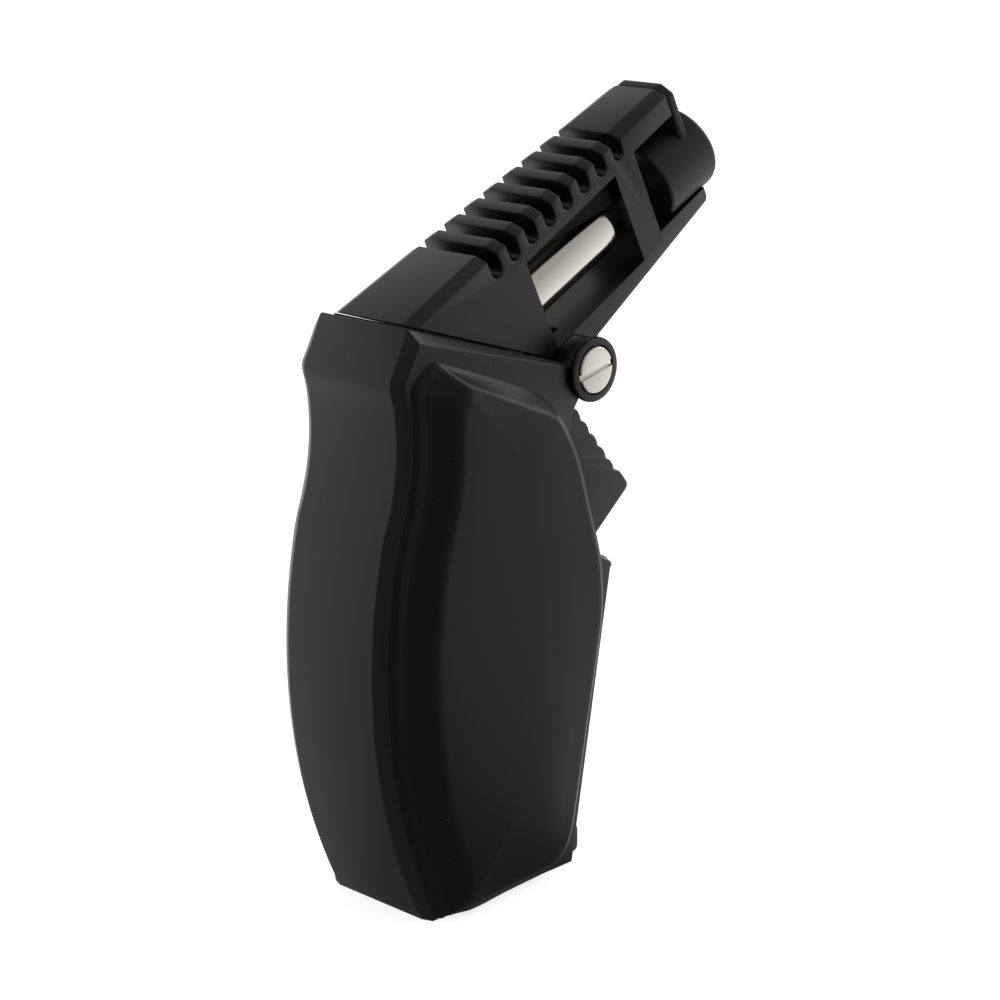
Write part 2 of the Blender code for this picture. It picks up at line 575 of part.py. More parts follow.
def build_burner(nickel, brass, steel, alloy, ceramic):
    """Jet, mixing tube and flame cup, all on the burner axis."""
    on_axis = head_point(0, BURNER_N)

    def along(profile, ring=False, facets=ROUND):
        return turned(profile, on_axis, AXIS_S, ring=ring, facets=facets)

    holder = [(1.0, -8.2), (4.2, -8.2), (4.2, -3.6), (1.9, -3.6), (1.9, -5.6), (1.0, -5.6)]
    jet = [(0.4, -5.2), (1.5, -5.2), (1.5, -3.2), (2.4, -3.2), (2.4, -1.8), (1.2, 1.0), (0.4, 1.0)]
    tube = [(3.5, -1.4), (4.25, -1.4), (4.25, 19.6), (4.05, 20.4), (3.6, 20.8), (3.1, 20.8), (3.1, 20.0),
            (3.5, 19.4)]
    cup = [(1.6, 36.5), (4.0, 36.5), (4.0, 45.6), (3.4, 45.6), (3.4, 37.6), (1.6, 37.6)]
    add("jet_holder", along(holder, ring=True), alloy)
    add("gas_jet", along(jet, ring=True), brass)
    add("burner_tube", along(tube, ring=True, facets=32), nickel)
    add("burner_neck", along([(2.4, 21.2), (3.0, 21.2), (3.0, 36.1), (2.4, 36.1)], ring=True), steel)
    add("flame_cup", along(cup, ring=True, facets=28), steel)
    place = head_point(0, *SPARK_AT)
    sleeve = [(0.8, 32.6), (1.15, 32.6), (1.15, 43.0), (0.8, 43.0)]
    add("electrode_sleeve", turned(sleeve, place, AXIS_S, ring=True, facets=14), ceramic)
    add("electrode", turned([(0, 31.0), (0.45, 31.0), (0.45, 45.0), (0, 45.0)], place, AXIS_S, facets=12), steel)


def build_guard(finish):
    """Nozzle guard: a round barrel with a brow that caps the front of the head."""
    profile = [(0, 34.0), (7.9, 34.0), (8.15, 34.3), (8.15, 45.0), (7.9, 46.2), (7.3, 47.2), (6.6, 47.5),
               (0, 47.5)]
    guard = add("nozzle_guard", turned(profile, head_point(0, BURNER_N), AXIS_S, facets=32), finish)
    brow = [(-4.2, 28.0), (4.2, 28.0), (6.4, 26.3), (6.4, 16.0), (-6.4, 16.0), (-6.4, 26.3)]
    mesh = bmesh.new()
    rings = [[mesh.verts.new(head_point(s, n, y)) for y, n in brow]
             for s in (HEAD_FRONT_S + GAP, RAIL_FRONT_S + 0.1)]
    for i in range(len(brow)):
        j = (i + 1) % len(brow)
        mesh.faces.new((rings[0][i], rings[0][j], rings[1][j], rings[1][i]))
    mesh.faces.new(rings[0][::-1])
    mesh.faces.new(rings[1])
    bmesh.ops.recalc_face_normals(mesh, faces=mesh.faces)
    shape(guard, "UNION", [mesh])
    bore = [(0, 30.0), (3.4, 30.0), (3.4, 36.2), (7.1, 36.2), (7.1, 46.4), (6.5, 48.5), (0, 48.5)]
    shape(guard, "DIFFERENCE", [rod(1.45, head_point(33.0, *SPARK_AT), head_point(37.0, *SPARK_AT), 14),
                                turned(bore, head_point(0, BURNER_N), AXIS_S, facets=28)])


def build_lines(clear, dark):
    """Gas hose and spark wire; each is parted at the hinge so that its upper half rides with the head."""
    hinge_hose = PIVOT + Vector((-2.05, 0, -0.5))
    hinge_wire = PIVOT + Vector((-1.5, 2.8, -0.35))
    hose("gas_hose_lower", [(OUTLET_X, 0, 58.4), (OUTLET_X, 0, 66.0), (-15.5, 0, 78.0), (-6.0, 0, 85.4),
                            hinge_hose], 1.15, clear)
    hose("gas_hose_upper", [head_point(0.1, 2.0), head_point(-0.4, 3.8), head_point(-3.4, 5.5),
                            head_point(-5.5, 6.6), head_point(-5.9, 8.0)], 1.0, clear, steps=3)
    hose("spark_wire_lower", [trigger_point(-9.0, -32.6), trigger_point(-9.0, -34.4), (-15.0, 6.0, 48.6),
                              (-20.0, 7.4, 51.0), (-26.0, 6.4, 58.0), (-26.5, 4.4, 69.0), (-17.0, 3.0, 79.0),
                              (-6.0, 2.8, 85.6), hinge_wire], 0.55, dark, steps=4)
    hose("spark_wire_upper", [head_point(0.1, 1.5, 2.8), head_point(0.9, 5.0, 2.8), head_point(3.5, 8.0, 5.0),
                              head_point(8.0, 17.0, 4.6), head_point(16.0, 20.3, 3.0),
                              head_point(24.0, 20.3, 2.8), head_point(30.6, *SPARK_AT)], 0.5, dark, steps=4)


def main():
    for item in list(bpy.data.objects):
        bpy.data.objects.remove(item)
    shell = material("black_shell", (0.022, 0.022, 0.023), 0.42)
    guard = material("guard_black", (0.04, 0.036, 0.037), 0.48)
    black = material("collar_black", (0.02, 0.02, 0.02), 0.35)
    nickel = material("nickel", (0.72, 0.68, 0.6), 0.22, 1.0)
    brass = material("brass", (0.72, 0.52, 0.2), 0.3, 1.0)
    steel = material("steel", (0.6, 0.6, 0.6), 0.3, 1.0)
    alloy = material("alloy", (0.65, 0.65, 0.66), 0.4, 1.0)
    ceramic = material("ceramic", (0.86, 0.84, 0.78), 0.5)
    smoke = material("smoke_plastic", (0.5, 0.5, 0.48), 0.3)
    white = material("piezo_plastic", (0.75, 0.74, 0.7), 0.5)
    seal = material("seal_rubber", (0.03, 0.03, 0.03), 0.8)
    clear = material("hose_plastic", (0.7, 0.7, 0.66), 0.35)
    dark = material("wire_insulation", (0.03, 0.03, 0.032), 0.5)
    build_frame(shell)
    build_covers(shell)
    build_cover_screws(steel)
    build_base(shell)
    build_base_screw(steel)
    build_flame_adjuster(brass)
    build_tank(smoke)
    build_refill_valve(brass, steel, seal)
    build_outlet_valve(brass, steel, seal)
    build_gas_lever(white, steel)
    build_trigger(shell, white, white)
    build_hinge(black, nickel)
    build_head(shell)
    build_burner(nickel, brass, steel, alloy, ceramic)
    build_guard(guard)
    build_lines(clear, dark)
    tilting = ["head_housing", "jet_holder", "gas_jet", "burner_tube", "burner_neck", "flame_cup", "electrode",
               "electrode_sleeve", "nozzle_guard", "pivot_screw_right", "pivot_screw_left", "gas_hose_upper",
               "spark_wire_upper"]
    hang("head_hinge", (PIVOT_X, 0, PIVOT_Z), tilting)
    hang("trigger_slide", trigger_point(-9.0, 0.0), ["trigger", "piezo_plunger"])
    hang("lever_axis", (LEVER_PIVOT[0], 0, LEVER_PIVOT[1]), ["gas_lever"])
    hang("outlet_axis", (OUTLET_X, 0, 42.0), ["outlet_stem"])
    hang("refill_axis", (REFILL_X, 0, 0), ["refill_stem"])
    hang("adjuster_axis", (ADJUSTER_X, 0, 0), ["flame_adjuster"])


main()
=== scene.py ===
import json
import math
import bpy
import bmesh
from mathutils import Matrix, Vector


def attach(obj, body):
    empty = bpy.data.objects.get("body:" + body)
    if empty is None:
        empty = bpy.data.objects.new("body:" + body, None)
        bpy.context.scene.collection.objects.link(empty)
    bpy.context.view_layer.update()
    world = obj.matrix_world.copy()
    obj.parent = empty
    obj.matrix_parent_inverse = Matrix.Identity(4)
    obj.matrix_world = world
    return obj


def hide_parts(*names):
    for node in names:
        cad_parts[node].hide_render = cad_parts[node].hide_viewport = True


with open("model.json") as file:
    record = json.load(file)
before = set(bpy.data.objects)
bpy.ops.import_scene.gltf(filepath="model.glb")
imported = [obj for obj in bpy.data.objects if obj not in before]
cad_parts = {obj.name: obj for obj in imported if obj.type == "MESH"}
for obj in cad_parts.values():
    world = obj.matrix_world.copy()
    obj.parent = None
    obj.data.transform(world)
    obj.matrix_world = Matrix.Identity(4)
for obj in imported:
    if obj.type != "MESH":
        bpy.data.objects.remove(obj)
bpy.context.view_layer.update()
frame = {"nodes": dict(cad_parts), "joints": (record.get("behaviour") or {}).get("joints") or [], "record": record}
mm = 0.001
hinge = Vector(next(j for j in frame["joints"] if j["name"] == "head_tilt")["pos_m"])
headAngle = math.radians(27)  # burner axis above horizontal
burnerN = 12.6  # burner axis across the head from the hinge, mm
alongHead = Vector((math.cos(headAngle), 0, math.sin(headAngle)))
acrossHead = Vector((-alongHead.z, 0, alongHead.x))
pull = Vector((math.cos(math.radians(39.7)), 0, math.sin(math.radians(39.7))))  # the trigger comes out this way
downFace = Vector((pull.z, 0, -pull.x))
print("frame loaded:", len(frame["nodes"]), "nodes")


# modelling helpers

def clearSelection():
    if bpy.context.object and bpy.context.object.mode != "OBJECT":
        bpy.ops.object.mode_set(mode="OBJECT")
    bpy.ops.object.select_all(action="DESELECT")


def pick(piece):  # make one piece the selected, active one
    clearSelection()
    piece.select_set(True)
    bpy.context.view_layer.objects.active = piece


def settle(piece):  # the place goes into the mesh, and every face looks outwards
    pick(piece)
    bpy.ops.object.transform_apply(location=True, rotation=True, scale=True)
    bpy.ops.object.mode_set(mode="EDIT")
    bpy.ops.mesh.select_all(action="SELECT")
    bpy.ops.mesh.remove_doubles(threshold=0.002 * mm)
    bpy.ops.mesh.normals_make_consistent(inside=False)
    bpy.ops.object.mode_set(mode="OBJECT")
    return piece


def applyAll(piece):
    pick(piece)
    for modifier in list(piece.modifiers):
        bpy.ops.object.modifier_apply(modifier=modifier.name)
    return piece


def smoothBy(piece, degrees=32):
    pick(piece)
    bpy.ops.object.shade_smooth_by_angle(angle=math.radians(degrees))
    return piece


def roundEdges(piece, width, segments=3, degrees=28):  # moulding radius on every edge sharper than the angle
    bevel = piece.modifiers.new("edgeRadius", "BEVEL")
    bevel.width = width * mm
    bevel.segments = segments
    bevel.limit_method = "ANGLE"
    bevel.angle_limit = math.radians(degrees)
    bevel.use_clamp_overlap = True
    bevel.miter_outer = "MITER_ARC"
    return applyAll(piece)


def combine(piece, tools, operation="DIFFERENCE"):  # join or cut with helper solids, which are then thrown away
    for tool in tools:
        change = piece.modifiers.new("combine", "BOOLEAN")
        change.operation = operation
        change.solver = "EXACT"
        change.object = tool
        applyAll(piece)
        bpy.data.objects.remove(tool)
    return piece


def ringSolid(name, rings):  # a disc pulled onto the first ring, then extruded from ring to ring
    clearSelection()
    bpy.ops.mesh.primitive_circle_add(vertices=len(rings[0]), radius=0.01, fill_type="NGON")
    piece = bpy.context.object
    piece.name = name
    for vertex, place in zip(piece.data.vertices, rings[0]):
        vertex.co = place
    bpy.ops.object.mode_set(mode="EDIT")
    bpy.ops.mesh.select_all(action="SELECT")
    for before, ring in zip(rings, rings[1:]):
        bpy.ops.mesh.extrude_region_move()
        edit = bmesh.from_edit_mesh(piece.data)
        cap = next(f for f in edit.faces if f.select)
        corners = [loop.vert for loop in cap.loops]
        start = min(range(len(corners)), key=lambda k: (corners[k].co - before[0]).length)
        corners = corners[start:] + corners[:start]
        if (corners[1].co - before[1]).length > (corners[-1].co - before[1]).length:
            corners = corners[:1] + corners[:0:-1]
        for corner, place in zip(corners, ring):
            corner.co = place
        bmesh.update_edit_mesh(piece.data)
    bpy.ops.object.mode_set(mode="OBJECT")
    return settle(piece)


def spunSolid(name, profile, origin, axis, steps=64):  # a profile of (radius, height) in mm, spun about an axis
    clearSelection()
    bpy.ops.mesh.primitive_circle_add(vertices=len(profile), radius=0.01, fill_type="NOTHING")
    piece = bpy.context.object
    piece.name = name
    for vertex, (radius, height) in zip(piece.data.vertices, profile):
        vertex.co = (radius * mm, 0, height * mm)
    bpy.ops.object.mode_set(mode="EDIT")
    if profile[0][0] == 0 and profile[-1][0] == 0:  # a solid piece has no edge along its own axis
        edit = bmesh.from_edit_mesh(piece.data)
        bpy.ops.mesh.select_all(action="DESELECT")
        for edge in edit.edges:
            edge.select_set(all(v.co.x == 0 for v in edge.verts))
        bmesh.update_edit_mesh(piece.data)
        bpy.ops.mesh.select_mode(type="EDGE")
        bpy.ops.mesh.delete(type="EDGE")
        bpy.ops.mesh.select_mode(type="VERT")
    bpy.ops.mesh.select_all(action="SELECT")
    bpy.ops.mesh.spin(steps=steps, angle=2 * math.pi, center=(0, 0, 0), axis=(0, 0, 1))
    bpy.ops.mesh.select_all(action="SELECT")
    bpy.ops.mesh.remove_doubles(threshold=0.002 * mm)
    bpy.ops.object.mode_set(mode="OBJECT")
    piece.rotation_mode = "QUATERNION"
    piece.rotation_quaternion = Vector(axis).to_track_quat("Z", "Y")
    piece.location = origin
    return settle(piece)


def boxSolid(name, centre, size, turn=None):  # a cube at its size and place, turned by a 3x3 matrix
    clearSelection()
    bpy.ops.mesh.primitive_cube_add(size=1, location=centre, scale=[x * mm for x in size])
    piece = bpy.context.object
    piece.name = name
    if turn is not None:
        piece.rotation_mode = "QUATERNION"
        piece.rotation_quaternion = turn.to_quaternion()
    return settle(piece)


def rodSolid(name, radius, start, end, steps=48):
    length = (Vector(end) - Vector(start)).length / mm
    profile = [(0, 0), (radius, 0), (radius, length), (0, length)]
    return spunSolid(name, profile, start, Vector(end) - Vector(start), steps)


def finishPiece(piece, body, slotName, material, *nodes):
    piece.data.materials.clear()
    piece.data.materials.append(material)
    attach(piece, body)
    if nodes:
        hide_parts(*nodes)
    return piece


# places and outlines

def at(x, y, z):
    return Vector((x, y, z)) * mm


def headAt(s, n, y=0.0):  # s along the burner axis from the hinge, n across it, y sideways
    return hinge + alongHead * (s * mm) + acrossHead * (n * mm) + Vector((0, y * mm, 0))


def triggerAt(p, q, y=0.0):  # p down the pressed face from its tip, q outwards
    return at(19.1, y, 64.4) + downFace * (p * mm) + pull * (q * mm)


def arcThrough(start, middle, end, steps):  # points on the circle through three, without the last
    (ax, az), (bx, bz), (cx, cz) = start, middle, end
    d = 2 * (ax * (bz - cz) + bx * (cz - az) + cx * (az - bz))
    a2, b2, c2 = ax * ax + az * az, bx * bx + bz * bz, cx * cx + cz * cz
    ox = (a2 * (bz - cz) + b2 * (cz - az) + c2 * (az - bz)) / d
    oz = (a2 * (cx - bx) + b2 * (ax - cx) + c2 * (bx - ax)) / d
    radius = math.hypot(ax - ox, az - oz)
    first, mid, last = (math.atan2(z - oz, x - ox) for x, z in (start, middle, end))
    turn = (last - first) % (2 * math.pi)
    if (mid - first) % (2 * math.pi) > turn:
        turn -= 2 * math.pi
    return [(ox + radius * math.cos(first + turn * i / steps), oz + radius * math.sin(first + turn * i / steps))
            for i in range(steps)]


def circlePart(centre, radius, first, last, steps):  # points on a circle between two angles, ends included
    angles = [math.radians(first + (last - first) * i / steps) for i in range(steps + 1)]
    return [(centre[0] + radius * math.cos(a), centre[1] + radius * math.sin(a)) for a in angles]


def insetBy(outline, distances):  # every corner of a closed outline moves inwards by its own distance
    count = len(outline)
    area = sum(outline[i][0] * outline[(i + 1) % count][1] - outline[(i + 1) % count][0] * outline[i][1]
               for i in range(count))
    side = 1 if area > 0 else -1
    moved = []
    for i, (x, z) in enumerate(outline):
        step = distances if isinstance(distances, (int, float)) else distances[i]
        before, after = outline[i - 1], outline[(i + 1) % count]
        d1 = Vector((x - before[0], z - before[1])).normalized()
        d2 = Vector((after[0] - x, after[1] - z)).normalized()
        n1, n2 = Vector((-d1.y, d1.x)) * side, Vector((-d2.y, d2.x)) * side
        mitre = (n1 + n2) / max(1 + n1.dot(n2), 0.4)
        moved.append((x + mitre.x * step, z + mitre.y * step))
    return moved


def easedRows(rows, steps):  # a closed smooth curve through rows of numbers, every number eased alike
    count = len(rows)
    gap = [max(math.dist(rows[i][:2], rows[(i + 1) % count][:2]), 0.3) for i in range(count)]
    slopes = [[(c - a) / (gap[i - 1] + gap[i]) for a, c in zip(rows[i - 1], rows[(i + 1) % count])]
              for i in range(count)]
    out = []
    for i in range(count):
        j = (i + 1) % count
        for k in range(steps):
            t = k / steps
            h = (2 * t ** 3 - 3 * t * t + 1, t ** 3 - 2 * t * t + t, 3 * t * t - 2 * t ** 3, t ** 3 - t * t)
            out.append([h[0] * a + h[1] * gap[i] * ma + h[2] * b + h[3] * gap[i] * mb
                        for a, ma, b, mb in zip(rows[i], slopes[i], rows[j], slopes[j])])
    return out


def sideRing(outline, y):  # an XZ outline in mm as places at one Y
    return [at(x, y, z) for x, z in outline]


def plate(name, outline, low, high):  # a flat outline given its thickness across the torch
    return ringSolid(name, [sideRing(outline, low), sideRing(outline, high)])


def headPlate(name, outline, half):  # the same in the head's own directions; half is a number or follows s
    width = half if callable(half) else (lambda s: half)
    return ringSolid(name, [[headAt(s, n, side * width(s)) for s, n in outline] for side in (-1, 1)])


# camera, light and floor

view = {"place": (-0.3089, -0.2930, 0.1837), "towardsCamera": (-0.6932, -0.6678, 0.2711), "lens": 92.77}
bpy.ops.object.camera_add(location=view["place"])
camera = bpy.context.object
camera.name = "camera"
camera.rotation_mode = "QUATERNION"
camera.rotation_quaternion = (-Vector(view["towardsCamera"])).to_track_quat("-Z", "Y")
camera.data.lens = view["lens"]
camera.data.sensor_width = 36
camera.data.clip_start = 0.01
bpy.context.scene.camera = camera
bpy.context.scene.view_settings.view_transform = "Standard"


def addNode(tree, kind, place=(0, 0), **values):
    node = tree.nodes.new(kind)
    node.location = place
    for key, value in values.items():
        setattr(node, key, value)
    return node


def mathNode(tree, operation, a, b=None, c=None):
    node = addNode(tree, "ShaderNodeMath", operation=operation)
    for slotNumber, value in enumerate((a, b, c)):
        if value is None:
            continue
        if isinstance(value, (int, float)):
            node.inputs[slotNumber].default_value = value
        else:
            tree.links.new(value, node.inputs[slotNumber])
    return node.outputs[0]


studio = {"dark": 0.2, "left": 0.98, "right": 0.8, "top": 0.36, "darkFrom": 0.85, "darkTo": -0.6,
          "panelFrom": (0.89, 0.03, 0.45), "panelAway": 1.0, "panelSize": (0.55, 0.4), "panelPower": 1.1}


def studioLight(tree, direction):  # studio brightness in a level direction
    flat = addNode(tree, "ShaderNodeVectorMath", operation="MULTIPLY")
    flat.inputs[1].default_value = (1, 1, 0)
    tree.links.new(direction, flat.inputs[0])
    unit = addNode(tree, "ShaderNodeVectorMath", operation="NORMALIZE")
    tree.links.new(flat.outputs[0], unit.inputs[0])
    spread = []
    for bearing in ((-0.72, -0.694, 0), (-0.694, 0.72, 0)):
        dot = addNode(tree, "ShaderNodeVectorMath", operation="DOT_PRODUCT")
        dot.inputs[1].default_value = bearing
        tree.links.new(unit.outputs[0], dot.inputs[0])
        spread.append(dot.outputs["Value"])
    ramp = addNode(tree, "ShaderNodeMapRange", interpolation_type="SMOOTHSTEP")
    for key, value in (("From Min", studio["darkFrom"]), ("From Max", studio["darkTo"]), ("To Min", 0),
                       ("To Max", 1)):
        ramp.inputs[key].default_value = value
    tree.links.new(spread[0], ramp.inputs["Value"])
    side = addNode(tree, "ShaderNodeMapRange", interpolation_type="SMOOTHSTEP")
    for key, value in (("From Min", -0.6), ("From Max", 0.6), ("To Min", studio["right"]),
                       ("To Max", studio["left"])):
        side.inputs[key].default_value = value
    tree.links.new(spread[1], side.inputs["Value"])
    bright = mathNode(tree, "MULTIPLY", ramp.outputs[0], side.outputs[0])
    return mathNode(tree, "ADD", bright, studio["dark"])


world = bpy.data.worlds.new("studio")
bpy.context.scene.world = world
world.use_nodes = True
sky = world.node_tree
sky.nodes.clear()
skyPlace = addNode(sky, "ShaderNodeTexCoord")
level = studioLight(sky, skyPlace.outputs["Generated"])
split = addNode(sky, "ShaderNodeSeparateXYZ")
sky.links.new(skyPlace.outputs["Generated"], split.inputs[0])
height = addNode(sky, "ShaderNodeMapRange", interpolation_type="SMOOTHSTEP")
for key, value in (("From Min", 0.2), ("From Max", 0.9), ("To Min", 0), ("To Max", 1)):
    height.inputs[key].default_value = value
sky.links.new(split.outputs["Z"], height.inputs["Value"])
topMix = addNode(sky, "ShaderNodeMix", data_type="FLOAT")
sky.links.new(height.outputs[0], topMix.inputs["Factor"])
sky.links.new(level, topMix.inputs["A"])
topMix.inputs["B"].default_value = studio["top"]
glow = addNode(sky, "ShaderNodeBackground")
sky.links.new(topMix.outputs[0], glow.inputs["Strength"])
glow.inputs["Color"].default_value = (1, 1, 1, 1)
pale = addNode(sky, "ShaderNodeBackground")
pale.inputs["Color"].default_value = (1, 1, 1, 1)
pale.inputs["Strength"].default_value = 1.0
path = addNode(sky, "ShaderNodeLightPath")
either = addNode(sky, "ShaderNodeMixShader")
skyOut = addNode(sky, "ShaderNodeOutputWorld")
sky.links.new(path.outputs["Is Camera Ray"], either.inputs["Fac"])
sky.links.new(glow.outputs[0], either.inputs[1])
sky.links.new(pale.outputs[0], either.inputs[2])
sky.links.new(either.outputs[0], skyOut.inputs["Surface"])

panelFrom = Vector(studio["panelFrom"]).normalized()
bpy.ops.object.light_add(type="AREA", location=panelFrom * studio["panelAway"] + Vector((0, 0, 0.09)))
panel = bpy.context.object
panel.name = "softPanel"
panel.data.shape = "RECTANGLE"
panel.data.size, panel.data.size_y = studio["panelSize"]
panel.data.energy = studio["panelPower"]
panel.rotation_mode = "QUATERNION"
panel.rotation_quaternion = (-panelFrom).to_track_quat("-Z", "Y")

bpy.ops.mesh.primitive_plane_add(size=6.0, location=(0, 0, 0))
floor = bpy.context.object
floor.name = "floor"
floorLook = bpy.data.materials.new("paleFloor")
floorLook.use_nodes = True
floorTree = floorLook.node_tree
floorTree.nodes.clear()
floorPlace = addNode(floorTree, "ShaderNodeTexCoord")
floorGlow = addNode(floorTree, "ShaderNodeEmission")
floorTree.links.new(studioLight(floorTree, floorPlace.outputs["Object"]), floorGlow.inputs["Strength"])
floorSeen = addNode(floorTree, "ShaderNodeEmission")
floorSeen.inputs["Strength"].default_value = 0.8
floorMatte = addNode(floorTree, "ShaderNodeBsdfDiffuse")
floorMatte.inputs["Color"].default_value = (0.85, 0.85, 0.85, 1)
floorBoth = addNode(floorTree, "ShaderNodeAddShader")
floorTree.links.new(floorSeen.outputs[0], floorBoth.inputs[0])
floorTree.links.new(floorMatte.outputs[0], floorBoth.inputs[1])
floorPath = addNode(floorTree, "ShaderNodeLightPath")
floorMix = addNode(floorTree, "ShaderNodeMixShader")
floorOut = addNode(floorTree, "ShaderNodeOutputMaterial")
floorTree.links.new(floorPath.outputs["Is Camera Ray"], floorMix.inputs["Fac"])
floorTree.links.new(floorGlow.outputs[0], floorMix.inputs[1])
floorTree.links.new(floorBoth.outputs[0], floorMix.inputs[2])
floorTree.links.new(floorMix.outputs[0], floorOut.inputs["Surface"])
floor.data.materials.append(floorLook)
print("camera, light and floor ready")


# shared surface effects

def makeGroup(name, inputs, outputs):
    group = bpy.data.node_groups.new(name, "ShaderNodeTree")
    for label, kind, value in inputs:
        socket = group.interface.new_socket(name=label, in_out="INPUT", socket_type=kind)
        socket.default_value = value
    for label, kind in outputs:
        group.interface.new_socket(name=label, in_out="OUTPUT", socket_type=kind)
    return group, addNode(group, "NodeGroupInput", (-900, 0)), addNode(group, "NodeGroupOutput", (600, 0))


number = "NodeSocketFloat"

grainGroup, gIn, gOut = makeGroup("mouldedGrain", [("Scale", number, 9000.0), ("Mottle", number, 0.1),
                                                   ("Roughness", number, 0.4), ("Spread", number, 0.05)],
                                  [("Height", number), ("Roughness", number), ("Shade", number)])
gPlace = addNode(grainGroup, "ShaderNodeTexCoord", (-900, 300))
fine = addNode(grainGroup, "ShaderNodeTexNoise", (-500, 300))
fine.inputs["Detail"].default_value = 2.0
broad = addNode(grainGroup, "ShaderNodeTexNoise", (-500, 0))
broad.inputs["Scale"].default_value = 70.0
broad.inputs["Detail"].default_value = 3.0
grainGroup.links.new(gPlace.outputs["Object"], fine.inputs["Vector"])
grainGroup.links.new(gIn.outputs["Scale"], fine.inputs["Scale"])
grainGroup.links.new(gPlace.outputs["Object"], broad.inputs["Vector"])
grainGroup.links.new(fine.outputs["Fac"], gOut.inputs["Height"])
centred = mathNode(grainGroup, "SUBTRACT", broad.outputs["Fac"], 0.5)
varied = mathNode(grainGroup, "MULTIPLY_ADD", centred, gIn.outputs["Spread"], gIn.outputs["Roughness"])
grainGroup.links.new(varied, gOut.inputs["Roughness"])
mottled = mathNode(grainGroup, "MULTIPLY_ADD", centred, gIn.outputs["Mottle"], 1.0)
grainGroup.links.new(mottled, gOut.inputs["Shade"])

dustGroup, dIn, dOut = makeGroup("dustSpecks", [("Scale", number, 420.0), ("Amount", number, 0.06)],
                                 [("Mask", number)])
dPlace = addNode(dustGroup, "ShaderNodeTexCoord", (-900, 300))
cells = addNode(dustGroup, "ShaderNodeTexVoronoi", (-600, 200))
cells.inputs["Randomness"].default_value = 1.0
dustGroup.links.new(dPlace.outputs["Object"], cells.inputs["Vector"])
dustGroup.links.new(dIn.outputs["Scale"], cells.inputs["Scale"])
near = mathNode(dustGroup, "LESS_THAN", cells.outputs["Distance"], dIn.outputs["Amount"])
pickSome = addNode(dustGroup, "ShaderNodeSeparateColor")
dustGroup.links.new(cells.outputs["Color"], pickSome.inputs[0])
few = mathNode(dustGroup, "GREATER_THAN", pickSome.outputs[0], 0.86)
dustGroup.links.new(mathNode(dustGroup, "MULTIPLY", near, few), dOut.inputs["Mask"])

# painted highlight along convex edges from pointiness, partly wear: the mask marks the rims where light catches
# them
edgeGroup, eIn, eOut = makeGroup("edgeHighlightAndWear", [("Start", number, 0.53), ("End", number, 0.6)],
                                 [("Mask", number)])
ridge = addNode(edgeGroup, "ShaderNodeNewGeometry", (-900, 300))
edgeRamp = addNode(edgeGroup, "ShaderNodeMapRange", (-500, 200))
edgeGroup.links.new(ridge.outputs["Pointiness"], edgeRamp.inputs["Value"])
edgeGroup.links.new(eIn.outputs["Start"], edgeRamp.inputs["From Min"])
edgeGroup.links.new(eIn.outputs["End"], edgeRamp.inputs["From Max"])
edgeGroup.links.new(edgeRamp.outputs[0], eOut.inputs["Mask"])


def useGroup(tree, group, **values):
    node = addNode(tree, "ShaderNodeGroup")
    node.node_tree = group
    for key, value in values.items():
        node.inputs[key].default_value = value
    return node


def mixColour(tree, factor, a, b):
    node = addNode(tree, "ShaderNodeMix", data_type="RGBA")
    tree.links.new(factor, node.inputs["Factor"])
    for socket, value in ((node.inputs[6], a), (node.inputs[7], b)):
        if isinstance(value, tuple):
            socket.default_value = (*value, 1)
        else:
            tree.links.new(value, socket)
    return node.outputs[2]


def plasticLook(name, base, rough, grain, bump=0.02, edgeWearAndHighlightColour=None, dust=0.0, specular=0.5):
    look = bpy.data.materials.new(name)
    look.use_nodes = True
    tree = look.node_tree
    shader = tree.nodes["Principled BSDF"]
    shader.inputs["Specular IOR Level"].default_value = specular
    surface = useGroup(tree, grainGroup, Scale=grain, Roughness=rough, Spread=rough * 0.16, Mottle=0.25)
    tinted = addNode(tree, "ShaderNodeVectorMath", operation="SCALE")
    tinted.inputs[0].default_value = base
    tree.links.new(surface.outputs["Shade"], tinted.inputs["Scale"])
    shade = tinted.outputs[0]
    edges = useGroup(tree, edgeGroup)
    # convex edges mix towards the edge colour: on most plastics a lighter painted highlight (1.9 times the base by
    # default), on the ceramic a darker edge
    edgeWearAndHighlightMask = mathNode(tree, "MULTIPLY", edges.outputs[0], 0.5)
    shade = mixColour(tree, edgeWearAndHighlightMask, shade, edgeWearAndHighlightColour or tuple(1.9 * c for c in base))
    if dust:
        specks = useGroup(tree, dustGroup, Amount=dust)
        shade = mixColour(tree, mathNode(tree, "MULTIPLY", specks.outputs[0], 0.4), shade, (0.12, 0.12, 0.12))
    tree.links.new(shade, shader.inputs["Base Color"])
    tree.links.new(surface.outputs["Roughness"], shader.inputs["Roughness"])
    relief = addNode(tree, "ShaderNodeBump")
    relief.inputs["Distance"].default_value = 0.00002
    relief.inputs["Strength"].default_value = bump
    tree.links.new(surface.outputs["Height"], relief.inputs["Height"])
    tree.links.new(relief.outputs[0], shader.inputs["Normal"])
    return look


